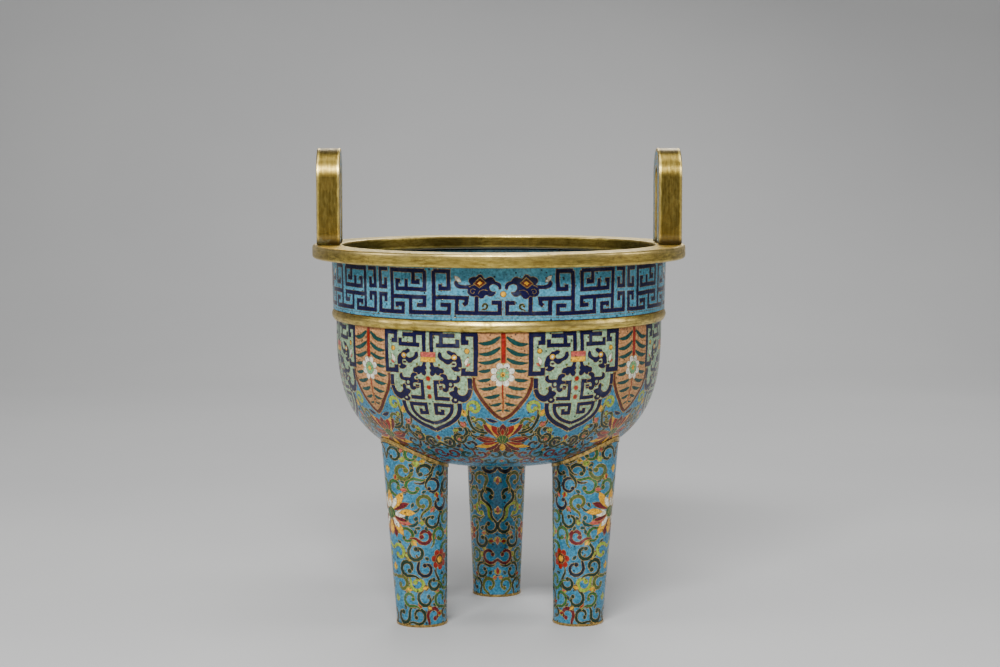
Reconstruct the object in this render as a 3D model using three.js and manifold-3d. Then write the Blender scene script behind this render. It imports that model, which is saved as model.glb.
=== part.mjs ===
// An incense burner in the form of an ancient three-legged bronze cauldron: a round bowl with two
// upright loop handles on its mouth rim, in gilt copper alloy with cloisonne enamel.
// Millimetres, +Z up. The origin is on the ground under the bowl's axis, and the front faces -Y.
import * as THREE from "three";
import { mergeVertices } from "three/addons/utils/BufferGeometryUtils.js";
import Module from "manifold-3d";

// Bowl: a nearly straight neck over a deep rounded belly, of one wall thickness
const MOUTH_HEIGHT = 232; // ground to the top of the mouth rim
const BELLY_RADIUS = 100.8; // outside, under the waist band
const NECK_STEP = 2; // how far the neck's foot stands out beyond the belly
const NECK_FLARE = 0.6; // how much wider the neck is under the rim than on the waist band
const BOWL_BOTTOM_HEIGHT = 96; // ground to the bowl's underside
const BOWL_WALL = 3.6;
const BELLY_DROP_POWER = 3; // the belly is a superellipse: (depth/drop)^3 + (radius/BELLY_RADIUS)^2.8 = 1
const BELLY_WIDTH_POWER = 2.8;

// Mouth rim: a heavy ring lying on the wall's top edge
const RIM_OVERHANG = 11.9; // beyond the neck
const RIM_WIDTH = 18.3; // from its bore to its outer edge
const RIM_THICKNESS = 8.1;
const RIM_OUTER_ROUND = 1.6; // its two outer corners
const RIM_BORE_ROUND = 0.8; // its two inner corners

// Waist band: a half-round ring let into a shallow seat round the bowl
const BAND_TOP_HEIGHT = 193;
const BAND_HEIGHT = 7;
const BAND_SEAT_DEPTH = 0.2; // how far the bowl behind the band lies in from the belly
const BAND_STAND = 1.4; // how far the band's two edges stand out beyond the belly
const BAND_SWELL = 1.3; // how far its middle stands out beyond its edges

// Handles: inverted U loops, flat to the radius, standing on the rim
const HANDLE_HEIGHT = 59; // above the rim
const HANDLE_WIDTH = 36; // along the rim, across both arms
const HANDLE_ARM = 12; // width of one arm, and of the arch over the gap
const HANDLE_THICKNESS = 14.3; // from the inner face to the outer one
const HANDLE_INSET = 3.5; // from the rim's outer edge to the handle's outer face
const HANDLE_BEVEL = 0.5;

// Legs: tapering round columns that lean out a little towards the bowl
const LEG_COUNT = 3;
const LEG_FOOT_RADIUS = 15.3;
const LEG_TOP_RADIUS = 20.8; // at its top, inside the bowl's outline
const LEG_TOP_RISE = 26; // from the bowl's underside to the column's top, before it is cut to the bowl
const LEG_FOOT_INSET = 45.3; // from the belly's radius in to the sole's centre
const LEG_LEAN = 5.1; // how far further out the column's top is than its sole
const LEG_LIP = 0.5; // how far the bare metal lips at foot and joint stand out
const FOOT_LIP_HEIGHT = 1.6;
const JOINT_LIP_HEIGHT = 1.8; // measured square to the bowl's surface

// Pieces that touch keep this gap
const CLEARANCE = 0.3;

// How finely round shapes are cut
const ROUND_STEPS = 64; // round the bowl, the rim and the band
const LEG_STEPS = 28;
const BELLY_STEPS = 14;
const LINING_STEPS = 9;
const ARCH_STEPS = 8; // in each quarter of a handle's arch
const CORNER_STEPS = 3;
const BAND_STEPS = 6;

const GILT = new THREE.MeshStandardMaterial({ color: 0xa8893f, metalness: 1, roughness: 0.35 });
const ENAMEL = new THREE.MeshStandardMaterial({ color: 0x4f9fb8, metalness: 0, roughness: 0.25 });

const BAND_FOOT_HEIGHT = BAND_TOP_HEIGHT - BAND_HEIGHT;
const BELLY_DROP = BAND_FOOT_HEIGHT - BOWL_BOTTOM_HEIGHT;
const NECK_FOOT_RADIUS = BELLY_RADIUS + NECK_STEP;
const NECK_TOP_RADIUS = NECK_FOOT_RADIUS + NECK_FLARE;
const RIM_UNDERSIDE = MOUTH_HEIGHT - RIM_THICKNESS;
const RIM_OUTER_RADIUS = NECK_TOP_RADIUS + RIM_OVERHANG;
const RIM_BORE_RADIUS = RIM_OUTER_RADIUS - RIM_WIDTH;
const BAND_SEAT_RADIUS = BELLY_RADIUS - BAND_SEAT_DEPTH;
const BAND_SIDE_RADIUS = BELLY_RADIUS + BAND_STAND;
const LEG_TOP_HEIGHT = BOWL_BOTTOM_HEIGHT + LEG_TOP_RISE;
const LEG_FOOT_CENTRE = BELLY_RADIUS - LEG_FOOT_INSET; // from the bowl's axis

const wasm = await Module();
wasm.setup();

const point = (radius, height) => new THREE.Vector2(radius, height);

// A solid of revolution about +Z from its half section
function turned(section, steps = ROUND_STEPS) {
  return new THREE.LatheGeometry(section, steps).rotateX(Math.PI / 2);
}

// Points on a rounded corner, from one direction to another, in radians
function corner(centreRadius, centreHeight, round, from, to, steps = CORNER_STEPS) {
  const points = [];
  for (let i = 0; i <= steps; i++) {
    const angle = from + ((to - from) * i) / steps;
    points.push(point(centreRadius + round * Math.cos(angle), centreHeight + round * Math.sin(angle)));
  }
  return points;
}

// The belly's section from its lowest point up to the waist band, moved outwards by grow
function bellySection(steps, grow = 0) {
  const points = [];
  for (let i = 0; i <= steps; i++) {
    const t = (Math.PI / 2) * (1 - i / steps);
    const radius = i === 0 ? 0 : BELLY_RADIUS * Math.cos(t) ** (2 / BELLY_WIDTH_POWER);
    const drop = BELLY_DROP * Math.sin(t) ** (2 / BELLY_DROP_POWER);
    points.push(point(radius, BAND_FOOT_HEIGHT - drop));
  }
  if (grow === 0) return points;
  return points.map((p, i) => {
    if (i === 0) return point(0, p.y - grow);
    if (i === steps) return point(p.x + grow, p.y);
    const along = points[i + 1].clone().sub(points[i - 1]).normalize();
    return point(p.x + along.y * grow, p.y - along.x * grow);
  });
}

function bowl() {
  const outside = [
    ...bellySection(BELLY_STEPS),
    point(BAND_SEAT_RADIUS, BAND_FOOT_HEIGHT),
    point(BAND_SEAT_RADIUS, BAND_TOP_HEIGHT),
    point(NECK_FOOT_RADIUS, BAND_TOP_HEIGHT),
    point(NECK_TOP_RADIUS, RIM_UNDERSIDE - CLEARANCE),
  ];
  const inside = [
    point(NECK_TOP_RADIUS - BOWL_WALL, RIM_UNDERSIDE - CLEARANCE),
    ...bellySection(LINING_STEPS, -BOWL_WALL).reverse(),
  ];
  return turned([...outside, ...inside]);
}

function mouthRim() {
  const quarter = Math.PI / 2;
  const outer = RIM_OUTER_RADIUS - RIM_OUTER_ROUND;
  const inner = RIM_BORE_RADIUS + RIM_BORE_ROUND;
  const section = [
    ...corner(outer, RIM_UNDERSIDE + RIM_OUTER_ROUND, RIM_OUTER_ROUND, -quarter, 0),
    ...corner(outer, MOUTH_HEIGHT - RIM_OUTER_ROUND, RIM_OUTER_ROUND, 0, quarter),
    ...corner(inner, MOUTH_HEIGHT - RIM_BORE_ROUND, RIM_BORE_ROUND, quarter, 2 * quarter, 1),
    ...corner(inner, RIM_UNDERSIDE + RIM_BORE_ROUND, RIM_BORE_ROUND, 2 * quarter, 3 * quarter, 1),
  ];
  return turned([...section, section[0].clone()]);
}

function waistBand() {
  const foot = BAND_FOOT_HEIGHT + CLEARANCE;
  const top = BAND_TOP_HEIGHT - CLEARANCE;
  const section = [point(BAND_SEAT_RADIUS + CLEARANCE, foot)];
  for (let i = 0; i <= BAND_STEPS; i++) {
    const share = i / BAND_STEPS;
    const swell = BAND_SWELL * Math.sin(Math.PI * share);
    section.push(point(BAND_SIDE_RADIUS + swell, foot + (top - foot) * share));
  }
  section.push(point(BAND_SEAT_RADIUS + CLEARANCE, top));
  return turned([...section, section[0].clone()]);
}

// One loop, drawn with its width along the page and its height up, then pushed out to its thickness
function handle() {
  const half = HANDLE_WIDTH / 2;
  const gap = half - HANDLE_ARM;
  const springing = HANDLE_HEIGHT - half; // where the arch starts
  const foot = CLEARANCE;
  const outline = new THREE.Shape();
  outline.moveTo(-half, foot);
  outline.lineTo(-gap, foot);
  outline.lineTo(-gap, springing);
  outline.absarc(0, springing, gap, Math.PI, 0, true);
  outline.lineTo(gap, foot);
  outline.lineTo(half, foot);
  outline.lineTo(half, springing);
  outline.absarc(0, springing, half, 0, Math.PI, false);
  outline.lineTo(-half, foot);
  const loop = new THREE.ExtrudeGeometry(outline, {
    depth: HANDLE_THICKNESS - 2 * HANDLE_BEVEL,
    curveSegments: 2 * ARCH_STEPS,
    bevelThickness: HANDLE_BEVEL,
    bevelSize: HANDLE_BEVEL,
    bevelOffset: -HANDLE_BEVEL,
    bevelSegments: 1,
  });
  loop.translate(0, 0, HANDLE_BEVEL - HANDLE_THICKNESS);
  loop.rotateX(Math.PI / 2).rotateZ(Math.PI / 2);
  return loop.translate(RIM_OUTER_RADIUS - HANDLE_INSET, 0, MOUTH_HEIGHT);
}

function toSolid(geometry) {
  const bare = geometry.clone();
  bare.deleteAttribute("normal");
  bare.deleteAttribute("uv");
  const merged = mergeVertices(bare, 1e-4);
  const mesh = new wasm.Mesh({
    numProp: 3,
    vertProperties: merged.attributes.position.array,
    triVerts: new Uint32Array(merged.index.array),
  });
  return new wasm.Manifold(mesh);
}

function toGeometry(solid) {
  const mesh = solid.getMesh();
  const geometry = new THREE.BufferGeometry();
  geometry.setAttribute("position", new THREE.BufferAttribute(mesh.vertProperties, 3));
  geometry.setIndex(new THREE.BufferAttribute(mesh.triVerts, 1));
  geometry.computeVertexNormals();
  return geometry;
}

// A length of the leg's column between two heights, out along +X, its lean made by a shear so that
// every level section is round
function legColumn(fromHeight, toHeight, grow = 0) {
  const lean = LEG_LEAN / LEG_TOP_HEIGHT;
  const taper = (LEG_TOP_RADIUS - LEG_FOOT_RADIUS) / LEG_TOP_HEIGHT;
  const radiusAt = (height) => LEG_FOOT_RADIUS + taper * height + grow;
  const column = new THREE.CylinderGeometry(
    radiusAt(toHeight), radiusAt(fromHeight), toHeight - fromHeight, LEG_STEPS,
  );
  column.rotateX(Math.PI / 2).translate(0, 0, (fromHeight + toHeight) / 2);
  column.applyMatrix4(new THREE.Matrix4().set(1, 0, lean, LEG_FOOT_CENTRE, 0, 1, 0, 0, 0, 0, 1, 0, 0, 0, 0, 1));
  return toSolid(column);
}

// The space that the bowl fills, grown outwards, to cut what meets it from below
function bowlSpace(grow) {
  return toSolid(turned([...bellySection(BELLY_STEPS, grow), point(0, BAND_FOOT_HEIGHT)]));
}

function leg() {
  const touching = bowlSpace(CLEARANCE);
  const lipSpace = bowlSpace(CLEARANCE + JOINT_LIP_HEIGHT);
  const column = legColumn(0, LEG_TOP_HEIGHT);
  const footLip = legColumn(0, FOOT_LIP_HEIGHT, LEG_LIP);
  const jointLip = legColumn(FOOT_LIP_HEIGHT, LEG_TOP_HEIGHT, LEG_LIP).intersect(lipSpace);
  return toGeometry(column.add(footLip).add(jointLip).subtract(touching));
}

function mesh(name, geometry, material) {
  const made = new THREE.Mesh(geometry, material);
  made.name = name;
  return made;
}

const censer = new THREE.Group();
censer.name = "tripod_censer";
censer.add(mesh("bowl", bowl(), ENAMEL));
censer.add(mesh("mouth_rim", mouthRim(), GILT));
censer.add(mesh("waist_band", waistBand(), GILT));

for (const [name, turn] of [["handle_right", 0], ["handle_left", Math.PI]]) {
  const loop = mesh(name, handle(), GILT);
  loop.rotation.z = turn;
  censer.add(loop);
}

const LEG_NAMES = ["leg_front_right", "leg_back", "leg_front_left"];
const FIRST_LEG_TURN = -Math.PI / 6; // 60 degrees round from the front, on the right
const legShape = leg();
for (let i = 0; i < LEG_COUNT; i++) {
  const column = mesh(LEG_NAMES[i] ?? `leg_${i + 1}`, legShape, ENAMEL);
  column.rotation.z = FIRST_LEG_TURN + (2 * Math.PI * i) / LEG_COUNT;
  censer.add(column);
}

export default censer;
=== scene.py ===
import math

import bpy
import numpy as np
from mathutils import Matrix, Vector, noise
from mathutils.geometry import delaunay_2d_cdt


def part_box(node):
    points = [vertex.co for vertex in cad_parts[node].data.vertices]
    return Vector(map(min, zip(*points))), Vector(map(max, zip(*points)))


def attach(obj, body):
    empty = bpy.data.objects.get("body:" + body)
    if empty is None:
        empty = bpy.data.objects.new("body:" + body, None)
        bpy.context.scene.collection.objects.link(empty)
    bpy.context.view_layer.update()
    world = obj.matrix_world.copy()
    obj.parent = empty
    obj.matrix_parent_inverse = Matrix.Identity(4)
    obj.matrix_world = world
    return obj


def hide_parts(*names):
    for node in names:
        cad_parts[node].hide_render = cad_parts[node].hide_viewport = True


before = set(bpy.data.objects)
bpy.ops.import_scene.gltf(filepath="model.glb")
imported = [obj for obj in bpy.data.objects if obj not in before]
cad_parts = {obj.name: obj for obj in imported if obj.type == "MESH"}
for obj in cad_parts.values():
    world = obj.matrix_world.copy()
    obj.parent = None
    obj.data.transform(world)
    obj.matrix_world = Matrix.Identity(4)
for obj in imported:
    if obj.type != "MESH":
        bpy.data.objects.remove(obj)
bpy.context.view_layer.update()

# The bowl's lining: one deep turquoise enamel fired over the whole inside, up to the rim, on a wall
# of copper alloy and enamel, 3.6 mm thick; its colour is painted much darker than that, as painted
# shade inside the bowl. The wall's top edge and the groove behind the waist band
# are left as bare gilt metal.
ENAMELS = {  # sRGB, as fired
    "wire": (198, 164, 96),
    "turquoise": (76, 150, 176),
    "deep_turquoise": (56, 128, 160),
    # painted shade: deep turquoise darkened for the shade inside the bowl
    "lining_with_painted_shade": (24, 66, 80),
    "navy": (10, 10, 56),
    "ink": (18, 24, 40),
    "celadon": (146, 180, 142),
    "salmon": (200, 142, 92),
    "red": (150, 28, 12),
    "wine": (104, 20, 30),
    "brown": (92, 36, 18),
    "teal": (16, 66, 62),
    "green": (48, 98, 44),
    "dark_green": (22, 50, 32),
    "olive": (84, 96, 38),
    "leaf": (148, 174, 58),
    "mint": (112, 186, 126),
    "yellow": (232, 168, 22),
    "pink": (188, 88, 76),
    "white": (232, 230, 212),
}
ENAMEL_NAMES = list(ENAMELS)
BARE_METAL = ENAMEL_NAMES.index("wire")


def linear(srgb):
    """An sRGB colour as the shader's linear shares."""
    share = np.asarray(srgb, float) / 255
    return np.where(share <= 0.04045, share / 12.92, ((share + 0.055) / 1.055) ** 2.4)


def new_material(name):
    """A material, a function that adds a node to it, and one that sets the shader's sockets."""
    material = bpy.data.materials.new(name)
    material.use_nodes = True
    tree = material.node_tree
    tree.nodes.clear()
    out = tree.nodes.new("ShaderNodeOutputMaterial")
    shader = tree.nodes.new("ShaderNodeBsdfPrincipled")
    tree.links.new(shader.outputs[0], out.inputs[0])

    def fill(sockets, inputs):
        for key, value in inputs.items():
            key = key.replace("_", " ")
            socket = sockets[int(key[1:])] if key[0] == "n" and key[1:].isdigit() else sockets[key]
            if isinstance(value, bpy.types.NodeSocket):
                tree.links.new(value, socket)
            else:
                socket.default_value = value

    def node(kind, settings=None, **inputs):
        made = tree.nodes.new("ShaderNode" + kind)
        for key, value in (settings or {}).items():
            setattr(made, key, value)
        fill(made.inputs, inputs)
        return made

    return material, node, lambda **inputs: fill(shader.inputs, inputs)


def maths(node, operation, *values):
    inputs = {f"n{i}": value for i, value in enumerate(values)}
    return node("Math", {"operation": operation}, **inputs).outputs[0]


def ramp(node, value, low, high, to_low=0.0, to_high=1.0):
    """A value between low and high, stretched evenly to other ends and held there."""
    limits = {"From_Min": low, "From_Max": high, "To_Min": to_low, "To_Max": to_high}
    return node("MapRange", {"clamp": True}, Value=value, **limits).outputs[0]


def blended(node, share, one, two):
    return node("Mix", {"data_type": "RGBA"}, n0=share, n6=one, n7=two).outputs[2]


PIT_BLACK, MILKY_BLOOM = (0.008, 0.008, 0.01, 1), (0.62, 0.72, 0.70, 1)


def fired_enamel(name, dullness):
    """Enamel ground flush with its wires and polished, a little uneven in tone, with the small dark
    pits that bubbles left in the firing. The wires are bare gilt metal, uneven in tone and toned
    darker in patches as painted dark reflection."""
    material, node, into_shader = new_material(name)
    where = node("TexCoord").outputs["Object"]
    fired = node("Attribute", {"attribute_name": "enamel"}).outputs["Color"]
    metal = node("Attribute", {"attribute_name": "wire"}).outputs["Fac"]
    cloudy = node("TexNoise", Vector=where, Scale=75.0, Detail=4.0, Roughness=0.6).outputs[0]
    grainy = node("TexNoise", Vector=where, Scale=720.0, Detail=4.0, Roughness=0.7).outputs[0]
    specks = node("TexVoronoi", Vector=where, Scale=400.0)
    chance = node("SeparateColor", Color=specks.outputs["Color"]).outputs[0]
    speck_size = ramp(node, chance, 0.35, 1.0, 0.0, 0.3)
    pit = maths(node, "LESS_THAN", specks.outputs["Distance"], speck_size)
    wide_tone = ramp(node, cloudy, 0.3, 0.7, 0.8, 1.12)
    fine_tone = ramp(node, grainy, 0.36, 0.64, 0.48, 1.28)
    tone = maths(node, "MULTIPLY", wide_tone, fine_tone)
    toned = node("HueSaturation", Value=tone, Color=fired).outputs[0]
    milky = blended(node, ramp(node, cloudy, 0.55, 0.8, 0.0, 0.08), toned, MILKY_BLOOM)
    pitted = blended(node, maths(node, "MULTIPLY", pit, 0.92), milky, PIT_BLACK)
    # Painted dark reflection: the wires' metal is toned down, deeply in patches of the grain, as well as
    # being uneven.
    wire_tone_and_dark_reflection = ramp(node, grainy, 0.32, 0.66, 0.22, 1.25)
    rubbed = node("HueSaturation", Value=wire_tone_and_dark_reflection, Color=fired).outputs[0]
    height = maths(node, "SUBTRACT", maths(node, "MULTIPLY", grainy, 0.3), pit)
    rough_pits = maths(node, "ADD", maths(node, "MULTIPLY", pit, 0.3), dullness)
    into_shader(
        Base_Color=blended(node, metal, pitted, rubbed),
        Metallic=metal,
        Roughness=maths(node, "ADD", ramp(node, cloudy, 0.3, 0.7, 0.2, 0.34), rough_pits),
        IOR=1.5,
        Specular_IOR_Level=0.28,
        Normal=node("Bump", Strength=0.4, Distance=0.00012, Height=height).outputs[0],
    )
    return material


enamel_material = fired_enamel("cloisonne_enamel", 0.0)
lining_material = fired_enamel("lining_enamel", 0.3)


def add_layer(layers, name, values, *kind, field="value"):
    layers.new(name, *kind).data.foreach_set(field, np.asarray(values, float).ravel())


def make_piece(name, parts, materials, replaced, brushed=False):
    """One mesh in metres from parts in millimetres, its normals taken from the true surface. A part
    holds corners, normals, triangles, their enamels, a flat sheet for baking and, where it is brushed
    metal, the lay of its scratches with each corner's share of wear and painted light: rubbed bright
    with painted highlight above zero, painted shade below zero."""
    offset, columns = 0, []
    for part in parts:
        columns.append([*part[:2], np.asarray(part[2]) + offset, *part[3:]])
        offset += len(part[0])
    corners, normals, triangles, enamel, sheets, *rest = (np.concatenate(c) for c in zip(*columns))
    if not brushed:  # corners that lie together become one, and triangles without a face go
        key = np.round(np.column_stack([corners, normals * 20, sheets * 2000]) * 500).astype(np.int64)
        _, keep, back = np.unique(key, axis=0, return_index=True, return_inverse=True)
        triangles = back.reshape(-1)[triangles]
        full = (np.diff(np.sort(triangles, axis=1), axis=1) > 0).all(1)
        corners, normals, sheets = corners[keep], normals[keep], sheets[keep]
        triangles, enamel = triangles[full], enamel[full]
    a, b, c = (corners[triangles[:, i]] for i in range(3))
    facing = (np.cross(b - a, c - a) * normals[triangles].sum(1)).sum(1)
    triangles = np.where(facing[:, None] < 0, triangles[:, ::-1], triangles)
    mesh = bpy.data.meshes.new(name)
    mesh.from_pydata((corners / 1000).tolist(), [], triangles.tolist())
    mesh.update()
    mesh.shade_smooth()
    shade = np.array([np.append(linear(ENAMELS[n]), 1.0) for n in ENAMEL_NAMES])
    add_layer(
        mesh.color_attributes, "enamel", np.repeat(shade[enamel], 3, 0), "FLOAT_COLOR", "CORNER",
        field="color",
    )
    add_layer(mesh.attributes, "wire", enamel == BARE_METAL, "FLOAT", "FACE")
    mesh.uv_layers.new(name="OFBake").data.foreach_set("uv", sheets[triangles].reshape(-1))
    if brushed:
        mesh.uv_layers.new(name="brush").data.foreach_set("uv", rest[0][triangles].reshape(-1))
        add_layer(mesh.attributes, "rubbed", rest[1], "FLOAT", "POINT")
    mesh.normals_split_custom_set_from_vertices(normals.tolist())
    for material in materials:
        mesh.materials.append(material)
    if len(materials) > 1:
        mesh.polygons.foreach_set("material_index", (enamel != BARE_METAL).astype(np.int32))
    piece = bpy.data.objects.new(name, mesh)
    bpy.context.scene.collection.objects.link(piece)
    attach(piece, "root")
    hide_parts(replaced)
    return piece


def grid(rows, columns):
    """Triangles between rows of corners that follow each other."""
    i, j = np.meshgrid(np.arange(rows - 1), np.arange(columns - 1), indexing="ij")
    a = (i * columns + j).ravel()
    halves = [np.stack([a, a + 1, a + columns + 1], -1), np.stack([a, a + columns + 1, a + columns], -1)]
    return np.concatenate(halves)


def unit(rows):
    """Each row scaled to a length of one."""
    return rows / np.maximum(np.linalg.norm(rows, axis=1), 1e-9)[:, None]


def turned(section, slopes, steps):
    """A section turned round the upright axis: its corners, its normals, and for each corner the
    angle turned with the length along the section."""
    turn = 2 * math.pi * np.arange(steps + 1) / steps
    s, c = np.sin(turn)[:, None], -np.cos(turn)[:, None]
    spun = [np.stack([r * s, r * c, z + 0 * s], -1).reshape(-1, 3) for r, z in (section.T, slopes.T)]
    length = np.concatenate([[0], np.cumsum(np.hypot(*np.diff(section, axis=0).T))])
    run = np.stack([np.repeat(turn[:, None], len(section), 1), np.repeat(length[None], steps + 1, 0)], -1)
    return *spun, run.reshape(-1, 2)


def plain_turned(section, enamel, sheet_corner):
    """A turned part in one enamel, or in bare metal."""
    section = np.asarray(section, float)
    along = unit(np.gradient(section, axis=0))
    corners, normals, run = turned(section, np.column_stack([-along[:, 1], along[:, 0]]), LINING_STEPS)
    triangles = grid(LINING_STEPS + 1, len(section))
    enamels = np.full(len(triangles), ENAMEL_NAMES.index(enamel))
    return corners, normals, triangles, enamels, run / [7.0, 300.0] + sheet_corner


def measured(metres):
    """A size of the solids, in the millimetres of the sections and drawings here."""
    return round(metres * 1000, 3)


GAP = 0.3  # between pieces that are joined
band_low, band_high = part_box("waist_band")
BAND_LOW, BAND_HIGH = measured(band_low.z), measured(band_high.z)
BELLY_TOP, NECK_LOW = round(BAND_LOW - GAP, 3), round(BAND_HIGH + GAP, 3)  # the groove's two edges
BOWL_BOTTOM, NECK_TOP_RADIUS = measured(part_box("bowl")[0].z), measured(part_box("bowl")[1].x)
BELLY_RADIUS, NECK_LOW_RADIUS, GROOVE_RADIUS = 100.8, 102.8, 100.6
WALL, WALL_TOP, LINING_TOP_RADIUS = 3.6, 223.5, 99.8
SIDE_POWER, BOTTOM_POWER = 2 / 2.8, 2 / 3  # how full the belly's round side and bottom are
LINING_STEPS = 128


def belly_curve(start, steps):
    """Radii and heights of the bowl's outside, from the waist band down to the middle below."""
    t = np.linspace(start, math.pi / 2, steps)
    height = BELLY_TOP - (BELLY_TOP - BOWL_BOTTOM) * np.sin(t) ** BOTTOM_POWER
    return BELLY_RADIUS * np.cos(t) ** SIDE_POWER, height


inner = np.column_stack(belly_curve(0.004, 26))
slope = unit(np.gradient(inner, axis=0))
inner += WALL * np.column_stack([slope[:, 1], -slope[:, 0]])
inner[-1, 0] = 0
inner = np.vstack([[(LINING_TOP_RADIUS, WALL_TOP), (99.6, 210), (98.6, 196)], inner[1:]])
groove = [
    (NECK_LOW_RADIUS, NECK_LOW), (GROOVE_RADIUS, NECK_LOW), (GROOVE_RADIUS, BELLY_TOP),
    (BELLY_RADIUS, BELLY_TOP),
]
make_piece(
    "bowl_lining",
    [
        plain_turned(inner[::-1], "lining_with_painted_shade", (0.03, 0.02)),
        plain_turned(groove, "wire", (0.03, 0.75)),
        plain_turned([(LINING_TOP_RADIUS, WALL_TOP), (NECK_TOP_RADIUS, WALL_TOP)], "wire", (0.03, 0.85)),
    ],
    [lining_material], "bowl",
)

# The bowl's neck: one tall band of key fret, navy on turquoise, with a pair of cloud scrolls at
# each quarter. As on a real piece, gilt wire is bent along every line, and each cell between the
# wires is filled with one enamel. It is drawn flat, once, from between two clouds to a cross.
WIRE = 0.3  # width of a gilt wire, as ground


def smooth(points, step=1.0, closed=False):
    """A flowing line through the points."""
    p = np.asarray(points, float)
    if closed:
        before, ends, after = np.roll(p, 1, 0), np.roll(p, -1, 0), np.roll(p, -2, 0)
    else:
        before = np.vstack([2 * p[0] - p[1], p[:-1]])
        ends, after = p[1:], np.vstack([p[2:], 2 * p[-1] - p[-2]])
    line = []
    for a, b, c, d in zip(before, p, ends, after):
        steps = max(1, math.ceil(np.linalg.norm(c - b) / step))
        t = (np.arange(steps) / steps)[:, None]
        bend, twist = 2 * a - 5 * b + 4 * c - d, 3 * b - a - 3 * c + d
        line.append(0.5 * (2 * b + (c - a) * t + bend * t**2 + twist * t**3))
    if not closed:
        line.append(p[-1:])
    return np.concatenate(line)


def ribbon(line, width, longer=0.0):
    """The outline of a strip along a line, with mitred corners."""
    line = np.array(line, float)
    width = np.broadcast_to(np.asarray(width, float), (len(line),))
    ahead = unit(np.diff(line, axis=0))
    line[0] -= ahead[0] * longer
    line[-1] += ahead[-1] * longer
    across = np.column_stack([-ahead[:, 1], ahead[:, 0]])
    first, second = np.vstack([across[:1], across]), np.vstack([across, across[-1:]])
    middle = unit(first + second)
    mitre = 1 / np.maximum(0.5, (middle * second).sum(1))
    side = middle * (width / 2 * mitre)[:, None]
    return np.concatenate([line + side, (line - side)[::-1]])


def grown(outline, by):
    """A closed outline moved outwards."""
    outline = np.asarray(outline, float)
    after, before = np.roll(outline, -1, 0), np.roll(outline, 1, 0)
    if (outline[:, 0] * after[:, 1] - after[:, 0] * outline[:, 1]).sum() < 0:
        return grown(outline[::-1], by)
    one, two = unit(outline - before), unit(after - outline)
    normal = unit(np.column_stack([one[:, 1] + two[:, 1], -one[:, 0] - two[:, 0]]))
    lean = np.maximum(0.5, normal[:, 0] * two[:, 1] - normal[:, 1] * two[:, 0])
    return outline + normal * (by / lean)[:, None]


def oval(x, y, rx, ry=None, turn=0.0, steps=None):
    """A round, or an oval leaning by an angle."""
    ry = rx if ry is None else ry
    t = np.linspace(0, 2 * np.pi, steps or max(8, min(20, int(5 * max(rx, ry)) + 6)), endpoint=False)
    px, py = rx * np.cos(t), ry * np.sin(t)
    c, s = math.cos(turn), math.sin(turn)
    return np.column_stack([x + px * c - py * s, y + px * s + py * c])


def petal(base, tip, width, belly=0.5, bend=0.0, steps=6):
    """A pointed leaf from base to tip, widest at the share belly of its length."""
    base, tip = np.asarray(base, float), np.asarray(tip, float)
    t = np.linspace(0, 1, steps)
    along = tip - base
    across = np.array([-along[1], along[0]]) / max(np.linalg.norm(along), 1e-6)
    spine = base + along * t[:, None] + across * (bend * np.sin(np.pi * t))[:, None]
    half = (width / 2 * np.sin(np.pi * t ** (math.log(0.5) / math.log(belly))) ** 0.8)[:, None]
    return np.concatenate([spine + across * half, (spine - across * half)[-2:0:-1]])


class Drawing:
    """Flat shapes laid one over the other, in millimetres, the last on top."""

    def __init__(self):
        self.shapes = []

    def fill(self, outline, enamel, wire=WIRE):
        """One cell with its wire."""
        outline = np.asarray(outline, float)
        if wire:
            self.shapes.append((grown(outline, wire), "wire"))
        self.shapes.append((outline, enamel))

    def lines(self, paths, width, enamel, wire=WIRE):
        """Lines that run into each other, between two wires."""
        for path in paths:
            self.shapes.append((ribbon(path, np.asarray(width) + 2 * wire, wire), "wire"))
        for path in paths:
            self.shapes.append((ribbon(path, width), enamel))

    def bare_wire(self, path, width=WIRE):
        """A wire that lies by itself in one cell."""
        self.shapes.append((ribbon(path, width), "wire"))

    def curl(self, x, y, size, facing, handed, enamel, thick=1.2, turns=1.1, tail=1.0):
        """A scroll round (x, y): a thin tail, once round, and a ball at its inner end."""
        turn = np.linspace(0, 1, max(7, int(11 * turns) + 2))
        angle, reach = facing + handed * 2 * math.pi * turns * turn, size * (1 - 0.6 * turn**1.7)
        ring = [x, y] + np.column_stack([np.cos(angle), np.sin(angle)]) * reach[:, None]
        heading, back = facing - handed * math.pi / 2, [ring[0]]
        for _ in range(round(4 * tail)):
            heading += handed * 0.3
            back.append(back[-1] + 0.3 * size * np.array([math.cos(heading), math.sin(heading)]))
        line = np.vstack([back[:0:-1], ring])
        swelling = np.interp(
            np.linspace(0, 1, len(line)), [0, 0.25, 0.6, 0.9, 1], [0.25, 0.8, 1.15, 0.8, 0.6],
        )
        self.lines([line], thick * swelling, enamel)
        self.fill(oval(*line[-1], 0.72 * thick, steps=8), enamel)

    def mirror_of(self, other, about):
        """Adds another drawing turned over about an upright line."""
        for outline, enamel in other.shapes:
            flipped = outline[::-1].copy()
            flipped[:, 0] = 2 * about - flipped[:, 0]
            self.shapes.append((flipped, enamel))


def inside(outline, points):
    """Which points a closed outline winds round."""
    x, y = points[:, 0], points[:, 1]
    turns = np.zeros(len(points), int)
    for (ax, ay), (bx, by) in zip(outline, np.roll(outline, -1, 0)):
        if ay != by:
            left = (bx - ax) * (y - ay) - (x - ax) * (by - ay)
            turns += ((ay <= y) & (y < by) & (left > 0)).astype(int)
            turns -= ((by <= y) & (y < ay) & (left < 0)).astype(int)
    return turns != 0


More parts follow.
